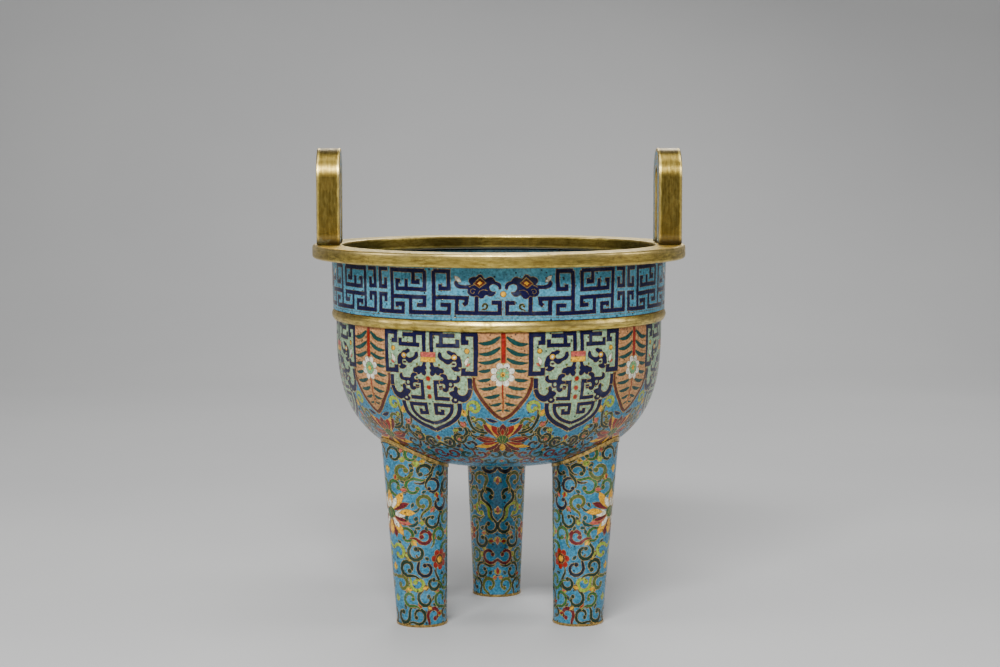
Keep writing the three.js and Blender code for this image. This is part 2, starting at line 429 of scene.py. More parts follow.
def cut(drawing, border, ground, spacing=4.0):
    """The drawing inside a border as corners, triangles and the enamel of each triangle, which is
    that of the topmost shape over its middle."""
    border = np.asarray(border, float)
    low, high = border.min(0), border.max(0)
    points, edges = [], []
    for outline in [border] + [outline for outline, _ in drawing.shapes]:
        if (outline.max(0) < low - 0.01).any() or (outline.min(0) > high + 0.01).any():
            continue
        ahead = np.roll(outline, -1, 0)  # long sides are cut up, so that they follow the vessel's curve
        counts = np.ceil(np.linalg.norm(ahead - outline, axis=1) / (1.05 * spacing)).astype(int)
        sides = [a + (b - a) * (np.arange(n) / n)[:, None] for a, b, n in zip(outline, ahead, counts)]
        outline = np.concatenate(sides)
        start = len(points)
        points.extend(outline)
        edges.extend((start + i, start + (i + 1) % len(outline)) for i in range(len(outline)))
    counts = np.maximum(2, np.ceil((high - low) / spacing).astype(int))
    gx, gy = np.meshgrid(*(np.linspace(low[i], high[i], counts[i] + 1)[1:-1] for i in (0, 1)))
    loose = np.column_stack([gx.ravel(), gy.ravel()])
    points.extend(loose[inside(border, loose)])
    made = delaunay_2d_cdt([Vector(p) for p in points], edges, [], 0, 1e-3)
    corners = np.array([tuple(v) for v in made[0]])
    triangles = np.array([f for f in made[2] if len(f) == 3])
    triangles = triangles[inside(border, corners[triangles].mean(1))]
    centre = corners[triangles].mean(1)
    enamel = np.full(len(triangles), ENAMEL_NAMES.index(ground))
    free = np.ones(len(triangles), bool)
    for outline, name in reversed(drawing.shapes):
        near = (centre >= outline.min(0)).all(1) & (centre <= outline.max(0)).all(1)
        rows = np.flatnonzero(free & near)
        if len(rows):
            rows = rows[inside(outline, centre[rows])]
            enamel[rows] = ENAMEL_NAMES.index(name)
            free[rows] = False
    used, triangles = np.unique(triangles, return_inverse=True)
    return corners[used], triangles.reshape(-1, 3), enamel


def framed(outline_points, counts):
    """A closed border through corner points, each side cut into a number of steps."""
    sides = []
    for a, b, count in zip(outline_points, np.roll(outline_points, -1, 0), counts):
        sides.append(np.linspace(a, b, count + 1)[:-1])
    return np.concatenate(sides)


STRAY, STEADY_EDGE = 0.8, 4.0  # how far a wire strays, and how near an edge it starts to
noise.seed_set(5)  # or the clock would choose how they stray, and no two runs would be alike


def strayed(places, low, high, scale=0.045):
    """How a wire at each place on the vessel strays from the drawing, by a smooth noise that fades
    out towards the lower and upper edge that it is given the distances to."""
    smooth_noise = noise.noise_vector
    stray = [0.7 * smooth_noise(Vector(p) * scale) + 0.3 * smooth_noise(Vector(p) * 0.17) for p in places]
    return np.array(stray)[:, :2] * np.clip(np.minimum(low, high) / STEADY_EDGE, 0, 1)[:, None]


def laid_round(flat_design, half, count, onto, edges, columns, size):
    """Repeats a flat half pattern round the vessel, every other copy turned over. No wire was bent
    twice alike, so each repeat strays a little from the drawing."""
    flat, triangles, enamel = flat_design
    low, high = edges
    parts = []
    for i in range(count):
        moved = flat.copy()
        moved[:, 0] = i * half + flat[:, 0] if i % 2 == 0 else (i + 1) * half - flat[:, 0]
        place, _ = onto(moved)
        corners, normals = onto(moved + STRAY * strayed(place, flat[:, 1] - low, high - flat[:, 1]))
        cell = np.array([0.98 * (i % columns) / columns, (i // columns) * (high - low + 3) / size])
        sheet = (flat - [0, low]) / size * [1, 0.98] + 0.01 + cell
        parts.append((corners, normals, triangles, enamel, sheet))
    return parts


NECK_RADIUS = 103.0
FRET_DATUM = 226.0  # the height that depths in the drawing are counted down from
NECK_TOP, NECK_FOOT = FRET_DATUM - WALL_TOP, FRET_DATUM - NECK_LOW
NECK_HALVES = 8
HALF_FRET = 2 * math.pi * NECK_RADIUS / NECK_HALVES


def spiral(x, y, start, sweep, wide, tight, steps):
    """A line wound inwards round (x, y)."""
    angle, reach = start + np.linspace(0, sweep, steps), np.linspace(wide, tight, steps)
    return np.column_stack([x + reach * np.cos(angle), y + reach * np.sin(angle)])


fret = Drawing()
fret.bare_wire([(-1, 31.3), (HALF_FRET + 1, 31.3)])
fret.bare_wire([(0, 22), (0, 30.6)])
fret.lines(
    [
        [(6.6, 22.5), (2.1, 22.5), (2.1, 28.7), (27.2, 28.7), (27.2, 20.1)],
        [(15.6, 17.0), (15.6, 28.7)],
        [(23.2, 24.2), (21.7, 23.0), (21.3, 20.1), (41.2, 20.1)],
        [(41.2, 4.6), (41.2, 29.0)],
        [
            (36.9, 24.5), (31.9, 24.5), (31.9, 29.0), (56.2, 29.0), (56.2, 20.1), (47.0, 20.1),
            (47.0, 24.7), (51.8, 24.7),
        ],
        [(37.0, 12.4), (37.0, 14.9), (31.9, 14.9), (31.9, 4.6), (41.2, 4.6)],
        [(54.4, 4.6), (54.4, 11.2), (51.4, 11.2), (51.4, 9.4)],
        [(47.0, 4.6), (47.0, 15.5), (65.8, 15.5), (65.8, 10.9), (63.6, 10.9)],
        [(47.0, 4.6), (69.6, 4.6), (69.6, 29.0)],
        [(59.2, 15.5), (59.2, 9.8)],
        [(56.2, 20.1), (69.6, 20.1)],
        [
            (66.0, 26.4), (66.0, 24.5), (61.6, 24.5), (61.6, 29.0), (78.7, 29.0), (78.7, 19.3),
            (74.6, 19.3), (74.6, 23.4),
        ],
        [(74.6, 9.8), (74.6, 14.8), (78.7, 14.8), (78.7, 4.6), (72.8, 4.6)],
    ],
    2.15,
    "navy",
)
for x, y, start in [
    (36.0, 12.4, 1.6), (24.0, 24.4, 0.8), (52.6, 23.6, 1.6), (62.8, 11.4, 0.0), (66.4, 27.0, 2.0),
    (52.4, 8.6, 3.0),
]:
    fret.bare_wire(spiral(x, y, start, 5.5, 1.3, 0.3, 9), 0.28)
cloud = [
    (1.2, 14.2), (1.4, 11.8), (2.8, 10.6), (4.6, 10.0), (5.4, 8.6), (7.0, 7.6), (8.8, 8.0), (10.4, 8.8),
    (11.6, 7.8), (12.6, 6.4), (14.2, 6.4), (15.4, 7.6), (17.4, 7.6), (19.4, 8.6), (19.8, 10.4),
    (18.6, 11.9), (20.6, 12.4), (24.0, 12.5), (26.2, 11.6), (26.8, 10.0), (28.4, 10.6), (28.0, 13.0),
    (25.6, 14.4), (21.6, 14.5), (20.4, 14.8), (20.6, 16.8), (19.2, 18.6), (17.0, 18.9), (15.4, 18.3),
    (14.6, 19.0), (13.2, 20.0), (11.5, 19.6), (10.6, 18.3), (9.4, 18.0), (8.0, 18.8), (6.2, 18.6),
    (4.8, 17.4), (4.6, 16.2), (6.2, 16.2), (7.5, 15.3), (8.1, 13.8), (7.5, 12.3), (5.8, 11.5),
    (4.0, 12.0), (2.8, 13.0), (2.4, 14.6),
]
fret.fill(smooth(cloud, 0.9, closed=True), "navy")
fret.fill([(10.2, 11.0), (13.3, 8.2), (16.7, 11.4), (13.6, 13.6)], "brown", wire=0.5)
fret.fill([(12.0, 11.0), (13.3, 9.9), (14.9, 11.3), (13.5, 12.3)], "yellow", wire=0)
fret.bare_wire([(16.4, 11.8), (19.8, 13.4)], 0.5)
fret.bare_wire(spiral(17.6, 16.2, -2.6, 6.2, 2.0, 0.6, 12), 0.35)
fret.bare_wire(smooth([(9.0, 15.6), (11.4, 15.0), (13.6, 15.8), (14.4, 17.4)], 0.8))
fret.fill(petal((24.6, 10.6), (28.2, 7.2), 2.2), "white")
fret.fill(oval(0, 17.5, 1.5), "yellow", wire=0.5)
fret.bare_wire(smooth([(0.3, 20.8), (2.8, 19.6), (4.4, 20.4)], 0.8))
fret.curl(11.0, 24.6, 1.9, 1.4, 1, "dark_green", 0.8, 0.75, 0.5)


def on_neck(flat):
    """Places and normals on the neck, which widens a little upwards."""
    across, height = flat[:, 0] / NECK_RADIUS, FRET_DATUM - flat[:, 1]
    flare = (NECK_TOP_RADIUS - NECK_LOW_RADIUS) / (WALL_TOP - NECK_LOW)
    radius = NECK_LOW_RADIUS + flare * (height - NECK_LOW)
    normal = np.column_stack([np.sin(across), -np.cos(across), np.full(len(flat), -flare)])
    return np.column_stack([radius * np.sin(across), -radius * np.cos(across), height]), normal


neck_corners = [(0, NECK_TOP), (HALF_FRET, NECK_TOP), (HALF_FRET, NECK_FOOT), (0, NECK_FOOT)]
neck_flat = cut(fret, framed(neck_corners, (24, 8, 24, 8)), "turquoise")
neck_parts = laid_round(
    neck_flat, HALF_FRET, NECK_HALVES, on_neck, (NECK_TOP, NECK_FOOT), 2, 2.02 * HALF_FRET,
)
make_piece("neck_fret", neck_parts, [enamel_material], "bowl")

# The belly: seven celadon shields with navy dragon masks in scrolls, and between them seven salmon
# leaves, hanging from the waist band over a turquoise ground of lotus scroll, all in wired enamel.
# It is drawn once, from a leaf's middle to a shield's, with depths down the surface from the band.
BELLY_HALVES = 14
HALF_PANEL = 2 * math.pi * BELLY_RADIUS / BELLY_HALVES
UNDERSIDE_RADIUS = 60.0
belly_radius, belly_height = belly_curve(0, 900)
belly_depth = np.concatenate([[0], np.cumsum(np.hypot(np.diff(belly_radius), np.diff(belly_height)))])
slope_r, slope_z = np.gradient(belly_radius), np.gradient(belly_height)
steep = np.hypot(slope_r, slope_z)
belly_out, belly_up = -slope_z / steep, slope_r / steep
BELLY_FOOT = float(np.interp(-UNDERSIDE_RADIUS, -belly_radius, belly_depth))


def bud(drawing, x, y, size, facing, enamel, second="leaf"):
    """A small bud with a leaf on each side."""
    ahead = np.array([math.cos(facing), math.sin(facing)])
    side = np.array([-ahead[1], ahead[0]])
    root = np.array([x, y]) - ahead * size * 0.5
    for way in (-1, 1):
        leaf_tip = root + ahead * size * 0.7 + side * way * size * 0.5
        drawing.fill(petal(root, leaf_tip, size * 0.42, steps=5), second)
    drawing.fill(petal(root, root + ahead * size * 1.1, size * 0.55, steps=5), enamel)


SCROLL_COLOURS = (
    "dark_green", "olive", "dark_green", "ink", "teal", "dark_green",
    "green", "dark_green", "wine", "leaf", "olive", "dark_green",
)
BUD_COLOURS = ("pink", "red", "yellow", "red", "leaf", "pink")


def scrollwork(drawing, width, low, high, pitch, seed, keep_clear, bold):
    """Fills a field with scrolls in staggered rows, each hooked round its neighbour, and with buds
    and small leaves in the gaps, but for the places to keep clear."""
    dice = np.random.default_rng(seed)
    across = round(width / pitch)
    step, rows = width / across, round((high - low) / (pitch * 0.88))
    rise = (high - low) / rows
    for row in range(rows):
        shift = row % 2
        for column in range(across + shift):
            on_seam = shift and column in (0, across)
            x = step * (column + 0.5 * (1 - shift)) + (0 if on_seam else dice.uniform(-0.5, 0.5))
            y = low + rise * (row + 0.5) + dice.uniform(-0.5, 0.5)
            size, facing = step * dice.uniform(0.42, 0.49), dice.uniform(0, 2 * math.pi)
            enamel = SCROLL_COLOURS[dice.integers(len(SCROLL_COLOURS))]
            flower = BUD_COLOURS[dice.integers(len(BUD_COLOURS))]
            thick = bold * dice.uniform(0.85, 1.15)
            if keep_clear(x, y, step * 0.26):
                continue
            if on_seam:  # it meets its own mirror image there, so it stands upright on the seam
                bud(drawing, x, y, 4.4, math.pi / 2 * (1 if dice.random() < 0.5 else -1), flower)
                continue
            away = facing - dice.uniform(1.2, 2.6)
            root = np.array([x + step * 0.5 * math.cos(away), y + step * 0.5 * math.sin(away)])
            if not keep_clear(*root, 2.5) and 3 < root[0] < width - 3:
                tip = root + 3.2 * np.array([math.cos(away + 1.2), math.sin(away + 1.2)])
                drawing.fill(petal(root, tip, 1.8, 0.4, steps=5), "teal")
            handed, turns = 1 if (row + column) % 2 else -1, dice.uniform(0.75, 1.0)
            drawing.curl(x, y, size, facing, handed, enamel, thick, turns, 1.0)
            if dice.random() < 0.75:
                away = facing + dice.uniform(2.4, 3.8)
                bx, by = x + step * 0.56 * math.cos(away), y + step * 0.56 * math.sin(away)
                if not keep_clear(bx, by, 1.2) and 1.5 < bx < width - 1.5:
                    bud_size, turn = dice.uniform(2.6, 3.8), away + dice.uniform(-0.8, 0.8)
                    leaf = "leaf" if dice.random() < 0.5 else "dark_green"
                    bud(drawing, bx, by, bud_size, turn, flower, leaf)


leaf_edge = smooth(
    [
        (17.2, 26.2), (17.3, 29.0), (16.2, 33.0), (14.1, 37.2), (11.4, 41.0), (8.0, 45.2), (4.2, 49.2),
        (0.0, 52.0),
    ],
    1.4,
)
leaf_outline = np.vstack([[(-6, -1), (15.2, -1), (15.2, 25.9)], leaf_edge, [(-6, 54.2)]])
shield_outline = np.array([
    (-6, -1), (30.3, -1), (30.3, 25.3), (27.0, 25.9), (27.0, 34.6), (26.0, 38.4), (23.0, 41.0),
    (20.0, 41.6), (20.0, 45.8), (18.4, 50.4), (14.8, 54.6), (9.9, 57.9), (4.7, 60.4), (0, 63.0),
    (-6, 63.0),
])
over_leaf = grown(leaf_outline, 2.6)
over_shield = grown(shield_outline * [-1, 1] + [HALF_PANEL, 0], 2.6)


def panels_near(x, y, reach):
    """Whether a spot is too near a leaf, a shield or the lotus under the leaf."""
    spot = np.array([[x, y]])
    lotus_near = math.hypot(x / (13.5 + reach), (y - 66.5) / (8.0 + reach)) < 1
    return bool(lotus_near or inside(over_leaf, spot)[0] or inside(over_shield, spot)[0])


ground = Drawing()
scrollwork(ground, HALF_PANEL, 56.5, BELLY_FOOT - 0.5, 11.3, 5, panels_near, 2.1)
ground.curl(HALF_PANEL - 6.2, 70.6, 5.0, 0.6, 1, "dark_green", 2.1, 0.95, 1.4)
ground.curl(HALF_PANEL - 15.6, 66.4, 4.4, 3.0, -1, "dark_green", 1.9, 0.95, 1.0)
bud(ground, HALF_PANEL - 0.2, 67.6, 3.6, -1.57, "red")
stem = smooth([(10.0, 62.2), (14.8, 61.4), (18.6, 59.0), (20.6, 55.2), (22.0, 50.0), (21.6, 45.8)], 1.2)
ground.lines([stem], 1.7, "dark_green")
ground.curl(18.0, 44.6, 3.9, 0.1, -1, "leaf", 1.9, 0.95, 0.4)
ground.curl(14.4, 55.6, 3.8, 5.6, -1, "olive", 1.7, 0.8, 0.6)
for x, y, size, facing, *colours in [
    (24.2, 48.0, 4.6, -1.1, "yellow"),
    (25.6, 56.0, 4.4, -0.8, "pink", "wine"),
    (31.4, 60.6, 3.6, 0.2, "leaf", "dark_green"),
    (18.6, 51.6, 3.0, 2.2, "leaf", "dark_green"),
]:
    bud(ground, x, y, size, facing, *colours)
ground.fill(petal((10.4, 51.2), (3.2, 53.4), 2.2, 0.5, -0.6), "navy")


def lotus(drawing, x, y, petals):
    """Half a bloom, to be turned over about its upright middle line, round a green heart."""
    for base, tip, wide, bend, colour in petals:
        drawing.fill(petal(np.add(base, (x, y)), np.add(tip, (x, y)), wide, 0.56, bend), colour)
    drawing.fill(oval(x, y + 0.6, 4.0, 3.4), "green")
    for lean in (-0.9, 0.0, 0.9):
        drawing.bare_wire([(x + 0.6 * lean, y + 3.4), (x + 3.0 * lean, y - 2.2 + 0.6 * abs(lean))], 0.35)


lotus(ground, 0.0, 67.0, [
    ((1.0, 4.0), (7.0, 13.0), 4.4, 0.8, "brown"), ((2.0, 3.0), (13.0, 10.6), 4.0, 0.8, "wine"),
    ((3.0, 3.0), (19.6, 6.8), 3.6, 1.2, "yellow"), ((3.0, 2.4), (15.0, 4.4), 2.4, 0.6, "red"),
    ((3.4, 0.4), (18.0, -0.6), 5.4, 0.8, "wine"), ((5.0, 0.4), (14.6, -0.6), 2.0, 0.2, "red"),
    ((2.6, -1.0), (12.6, -11.2), 6.0, -1.0, "wine"), ((4.0, -0.6), (10.6, -12.4), 2.8, -1.2, "yellow"),
    ((1.6, -1.6), (7.0, -10.6), 4.6, -0.4, "red"), ((0.8, -2.0), (2.8, -9.4), 3.0, 0.0, "brown"),
    ((0.0, -2.0), (0.0, -11.8), 4.6, 0.0, "wine"), ((0.0, -2.0), (0.0, -8.0), 2.2, 0.0, "red"),
    ((0.0, 4.0), (0.0, 11.5), 4.0, 0.0, "yellow"),
])

ground.fill(leaf_outline, "salmon")
for start, end, sag, thick in [
    ((1.9, 2.4), (14.9, 6.2), 1.9, 2.0), ((1.9, 8.6), (15.0, 12.4), 1.7, 2.0),
    ((1.9, 14.6), (14.8, 17.2), 1.4, 1.9), ((6.8, 21.6), (14.8, 22.4), 0.5, 1.7),
    ((7.0, 27.0), (15.0, 27.8), 0.5, 1.7), ((3.4, 31.4), (14.2, 32.8), 0.8, 1.8),
    ((1.8, 36.2), (11.6, 37.8), 0.8, 1.8), ((1.2, 41.2), (7.8, 42.7), 0.5, 1.5),
    ((0.7, 45.4), (4.6, 46.3), 0.2, 1.0),
]:
    t = np.linspace(0, 1, 8)
    start, end = np.array(start), np.array(end)
    vein = start + (end - start) * t[:, None] + [0, 1.0] * (sag * np.sin(np.pi * t))[:, None]
    ground.bare_wire(vein + [0.4, 2.7])
    taper = np.interp(t, [0, 0.25, 0.7, 1], [0.45, 1.0, 0.85, 0.1])
    ground.lines([vein], 1.25 * thick * taper, "teal", wire=0.28)
ground.lines([leaf_edge], 2.0, "brown", wire=0.5)
ground.lines([[(0.0, -1.0), (0.0, 17.2)]], 2.5, "red", wire=0.4)
ground.lines([[(0.0, 28.0), (0.0, 47.0)]], [1.0, 0.5], "red", wire=0.35)
DAISY_DEPTH, DAISY_PETALS = 24.3, 8


def petal_ring(drawing, x, y, count, reach, rx, ry, enamel, first=0.0, steps=None, wire=WIRE):
    """Ovals set round (x, y), each pointing outwards."""
    for k in range(count):
        angle = first + 2 * math.pi * k / count
        spot = (x + reach * math.cos(angle), y + reach * math.sin(angle))
        drawing.fill(oval(*spot, rx, ry, angle, steps), enamel, wire)


petal_ring(ground, 0, DAISY_DEPTH, DAISY_PETALS, 5.2, 2.15, 1.85, "white", math.pi / 8)
ground.fill(oval(0, DAISY_DEPTH, 3.9, steps=18), "celadon", wire=0.25)
petal_ring(ground, 0, DAISY_DEPTH, DAISY_PETALS, 2.7, 1.25, 0.85, "mint", math.pi / 8, 8, 0.28)
ground.fill(oval(0, DAISY_DEPTH, 1.2), "yellow", wire=0.4)

shield = Drawing()
shield.fill(shield_outline, "celadon")
shield.lines(
    [
        [(24.8, 5.9), (22.0, 5.9), (22.0, 1.1), (29.1, 1.1), (29.1, 24.1), (21.9, 24.1), (21.9, 20.9)],
        smooth([(25.8, 26.8), (25.8, 34.4), (24.7, 37.7), (22.2, 39.4), (19.6, 38.8), (18.0, 37.0)], 1.4),
        smooth(
            [(18.7, 41.9), (18.6, 45.8), (17.0, 50.0), (13.6, 53.6), (9.2, 56.6), (4.4, 58.9), (0, 61.3)],
            2.0,
        ),
    ],
    2.6,
    "navy",
)
shield.lines(
    [
        np.vstack([
            [(7.3, 46.4), (7.3, 49.0), (3.2, 49.0), (3.2, 43.5)],
            smooth([(13.7, 43.5), (13.2, 47.2), (11.0, 50.6), (7.5, 53.4), (3.8, 55.0), (0, 56.2)], 2.0),
        ]),
        [(2.4, 12.0), (2.4, 1.1), (8.6, 1.1), (8.6, 7.9)],
        [(5.4, 7.9), (18.5, 7.9), (18.5, 4.4)],
        [(16.8, 2.2), (8.6, 2.2)],
        [(8.6, 29.5), (4.4, 29.5), (4.4, 39.4), (12.8, 39.4)],
    ],
    2.2,
    "navy",
)
dragon = [
    (7.1, 12.0), (6.4, 13.5), (6.8, 15.2), (8.1, 16.4), (10.0, 17.4), (11.3, 18.7), (13.2, 18.9),
    (14.7, 17.8), (15.4, 17.0), (17.3, 17.2), (17.7, 18.8), (17.3, 20.0), (15.8, 20.4), (14.6, 20.7),
    (15.4, 21.9), (17.2, 22.9), (19.4, 22.7), (20.2, 21.6), (19.0, 21.3), (18.9, 20.3), (20.7, 20.5),
    (20.9, 18.4), (20.3, 15.6), (19.3, 13.9), (17.8, 13.3), (16.8, 11.8), (15.1, 11.6), (13.5, 10.7),
    (11.9, 11.3), (12.6, 12.7), (14.0, 13.4), (14.6, 14.6), (13.8, 15.8), (12.0, 16.0), (10.2, 15.4),
    (8.9, 14.2), (8.4, 12.4),
]
claw = [
    (1.2, 18.0), (3.2, 18.0), (3.6, 19.6), (4.6, 20.6), (6.2, 20.4), (7.6, 21.2), (9.4, 21.6),
    (10.0, 23.2), (9.2, 24.6), (7.8, 24.2), (7.0, 25.4), (5.6, 25.2), (4.8, 24.2), (4.0, 25.2),
    (2.8, 26.0), (1.5, 25.4), (1.2, 23.8), (2.0, 22.6), (1.0, 21.4), (1.8, 20.0),
]
mane = [
    (8.0, 26.2), (7.8, 25.0), (9.4, 24.4), (11.2, 25.0), (12.2, 26.4), (12.6, 27.8), (14.4, 27.8),
    (16.8, 28.0), (18.0, 27.2), (18.2, 25.4), (19.7, 26.0), (20.1, 27.8), (18.9, 29.3), (16.8, 29.8),
    (15.9, 29.9), (16.1, 31.4), (14.9, 32.6), (13.2, 32.4), (12.8, 33.8), (11.6, 35.0), (9.9, 35.0),
    (8.8, 33.8), (9.3, 32.7), (10.6, 32.9), (10.8, 31.4), (9.8, 30.4), (7.4, 30.2), (7.4, 28.7),
    (9.2, 28.6), (9.8, 27.6), (9.2, 26.6),
]
fin = [
    (24.7, 33.4), (23.7, 35.8), (21.9, 37.1), (19.9, 37.0), (18.5, 35.8), (18.1, 34.4), (18.6, 32.8),
    (17.2, 31.6), (15.9, 32.8), (15.9, 34.2), (14.4, 34.6), (12.8, 35.6), (13.5, 37.2), (14.7, 37.9),
    (14.6, 39.0), (13.7, 39.9), (14.4, 41.4), (16.3, 41.9), (17.9, 41.2), (18.6, 40.2), (20.2, 41.0),
    (22.6, 40.6), (25.0, 38.8), (26.5, 35.9), (26.9, 33.4),
]
for shape in (dragon, claw, mane, fin):
    shield.fill(smooth(shape, 1.1, closed=True), "navy")
for x, y, rx, ry, steps, enamel, wire in [
    (16.3, 14.7, 1.5, 1.45, None, "yellow", WIRE),
    (16.3, 14.7, 0.8, 0.8, 8, "white", 0.2),
    (15.9, 18.7, 1.1, 0.5, None, "navy", 0.25),
    (14.1, 30.6, 0.85, 0.85, 8, "celadon", 0.25),
    (16.4, 39.8, 0.7, 0.5, 8, "celadon", 0.25),
    (7.7, 33.0, 1.0, 0.9, None, "navy", WIRE),
]:
    shield.fill(oval(x, y, rx, ry, 0.0, steps), enamel, wire)
shield.lines([[(6.6, 32.3), (9.0, 32.0)]], 1.1, "navy")
shield.fill(oval(19.2, 33.0, 0.6, steps=8), "green")
shield.fill(oval(7.2, 19.4, 0.55, steps=8), "green")
for top, foot, enamel in ((12.0, 14.8, "pink"), (15.1, 17.7, "yellow")):
    shield.fill([(-1, top), (4.8, top), (4.8, foot), (-1, foot)], enamel)
for depth in (27.6, 33.0, 38.6):
    shield.fill(oval(0, depth, 1.25), "red", wire=0.5)
shield.fill(oval(23.9, 10.9, 1.2), "yellow", wire=0.5)
shield.fill(petal((24.9, 14.4), (23.2, 19.4), 1.9, 0.5, 0.5), "white")
shield.fill(petal((23.6, 19.8), (25.8, 18.0), 1.2), "pink")
shield.bare_wire(smooth([(10.6, 19.9), (12.0, 21.0), (13.4, 20.4)], 0.8))
shield.bare_wire(smooth([(23.4, 29.4), (22.6, 32.6), (23.4, 35.4)], 1.2))
shield.bare_wire([(26.6, 25.75), (31.0, 25.75)], 0.5)
ground.mirror_of(shield, HALF_PANEL / 2)


def at_depth(depth):
    """Radius and height on the belly at depths down its surface, and how far it faces out and up."""
    return (
        np.interp(depth, belly_depth, column)
        for column in (belly_radius, belly_height, belly_out, belly_up)
    )


def on_belly(flat):
    """Places and normals on the belly."""
    across = flat[:, 0] / BELLY_RADIUS
    radius, height, out, up = at_depth(flat[:, 1])
    s, c = np.sin(across), -np.cos(across)
    return np.column_stack([radius * s, radius * c, height]), np.column_stack([out * s, out * c, up])


SEAM_STEPS = 12
belly_corners = [(0, 0), (HALF_PANEL, 0), (HALF_PANEL, BELLY_FOOT), (0, BELLY_FOOT)]
belly_flat = cut(ground, framed(belly_corners, (SEAM_STEPS, 30, SEAM_STEPS, 30)), "deep_turquoise")
belly_parts = laid_round(
    belly_flat, HALF_PANEL, BELLY_HALVES, on_belly, (0, BELLY_FOOT), 7, 7.1 * HALF_PANEL,
)
make_piece("belly_panels", belly_parts, [enamel_material], "bowl")

# The underside, which hardly shows between the legs, is plainer: turquoise enamel with a rosette and
# one ring of scrolls in the same wires, drawn as seen from below. Its edge meets the belly's foot,
# corner to corner.
UNDERSIDE = float(belly_depth[-1]) - BELLY_FOOT
ROSETTE_PETALS = 7
below = Drawing()
for turn in range(ROSETTE_PETALS):
    angle = 2 * math.pi * turn / ROSETTE_PETALS
    spin = np.array([[math.cos(angle), math.sin(angle)], [-math.sin(angle), math.cos(angle)]])
    one = Drawing()
    one.curl(0, -26, 7.0, 0.6, 1, "green", 1.6, 1.1)
    one.curl(12, -40, 5.6, 2.2, -1, "dark_green", 1.5, 1.1)
    one.curl(-6, -45, 5.0, -0.8, 1, "leaf", 1.4, 1.0)
    bud(one, 2.5, -56.0, 5.0, -1.3, "pink")
    bud(one, 13.5, -53.0, 4.0, -0.9, "red")
    one.fill(petal((0, -3.4), (0, -12.0), 5.6, 0.6), "red")
    below.shapes += [(outline @ spin, enamel) for outline, enamel in one.shapes]
below.fill(oval(0, 0, 3.6, steps=16), "yellow")
ring = 2 * math.pi * np.arange(SEAM_STEPS * BELLY_HALVES) / (SEAM_STEPS * BELLY_HALVES)
underside_border = np.column_stack([np.sin(ring), -np.cos(ring)]) * UNDERSIDE
flat, triangles, enamels = cut(below, underside_border, "deep_turquoise", 6.0)
reach = np.maximum(np.hypot(*flat.T), 1e-6)
radius, height, out, up = at_depth(belly_depth[-1] - reach)
x, y = flat.T / reach
corners = np.column_stack([radius * x, radius * y, height])
normals = np.column_stack([out * x, out * y, up])
underside_part = (corners, normals, triangles, enamels, flat / 160 + 0.5)
make_piece("underside", [underside_part], [enamel_material], "bowl")

# The mouth rim and the waist band: heavy rings of gilt copper alloy, turned, soldered to the bowl and
# rubbed along their length, so fine scratches and brown stains run round them. Their corners, the
# rim's outer face and a stripe along the band's bulge are painted bright, worn edges and painted
# highlight together, and the rim's bore is painted darker as painted shade. A grey-green crust of
# solder marks where the handles stand on the rim.
rim_low, rim_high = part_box("mouth_rim")
RIM_OUTER, RIM_BORE = measured(rim_high.x), 97.0
RIM_TOP, RIM_LOW = measured(rim_high.z), measured(rim_low.z)
RIM_EDGE, BORE_EDGE = 1.6, 0.8  # radii of the rounded corners
BAND_SEAT, BAND_EDGE, BAND_BULGE = GROOVE_RADIUS + GAP, 102.2, 1.3
CRUST_LOW, CRUST_HIGH = 3.2, 8.2  # how far above the rim the solder thins out and ends
GILDING_BROWN, GILDING_YELLOW = (0.31, 0.21, 0.03, 1), (0.90, 0.70, 0.165, 1)
GILDING_WARM = (0.46, 0.305, 0.06, 1)
# The bright rubbed colour is worn metal and painted highlight together; the dark one beside it is painted
# shade for the rim's bore and the middle of the handles' edges.
WORN_AND_HIGHLIGHT_BRIGHT, PAINTED_SHADE_DARK = (0.90, 0.69, 0.27, 1), (0.10, 0.066, 0.015, 1)
GRIME, SCORE = (0.075, 0.045, 0.012, 1), (0.10, 0.06, 0.016, 1)
CRUST_BROWN, CRUST_GREEN = (0.045, 0.03, 0.012, 1), (0.17, 0.19, 0.14, 1)
gilt_material, node, into_shader = new_material("worn_gilding")
flow = node("UVMap", {"uv_map": "brush"}).outputs[0]
where = node("TexCoord").outputs["Object"]


def along_flow(stretch, detail, roughness):
    """Noise drawn out along the lay of the scratches."""
    lay = node("VectorMath", {"operation": "MULTIPLY"}, n0=flow, n1=(*stretch, 1.0)).outputs[0]
    return node("TexNoise", Vector=lay, Scale=1.0, Detail=detail, Roughness=roughness).outputs[0]


streak = along_flow((0.13, 0.8), 6.0, 0.7)
hair = along_flow((0.4, 7.0), 4.0, 0.7)
score = along_flow((0.16, 2.6), 3.0, 0.6)
stain = node("TexNoise", Vector=where, Scale=110.0, Detail=8.0, Roughness=0.75, Distortion=0.4).outputs[0]
blotch = node("TexNoise", Vector=where, Scale=30.0, Detail=3.0).outputs[0]
wear_and_light_share = node("Attribute", {"attribute_name": "rubbed"}).outputs["Fac"]
tone = blended(node, ramp(node, streak, 0.39, 0.61), GILDING_BROWN, GILDING_YELLOW)
warm = blended(node, ramp(node, blotch, 0.35, 0.7, 0.0, 0.6), tone, GILDING_WARM)
grime = maths(node, "MULTIPLY", ramp(node, stain, 0.52, 0.66), ramp(node, hair, 0.35, 0.6, 0.25, 0.95))
dull = blended(node, grime, warm, GRIME)
scored = blended(node, ramp(node, score, 0.60, 0.66, 0.0, 0.55), dull, SCORE)
# Painted shade: where the share is below zero, the rim's bore and the middle of the handles' edges are
# darkened.
with_painted_shade = blended(node, ramp(node, wear_and_light_share, 0.0, -1.0), scored, PAINTED_SHADE_DARK)
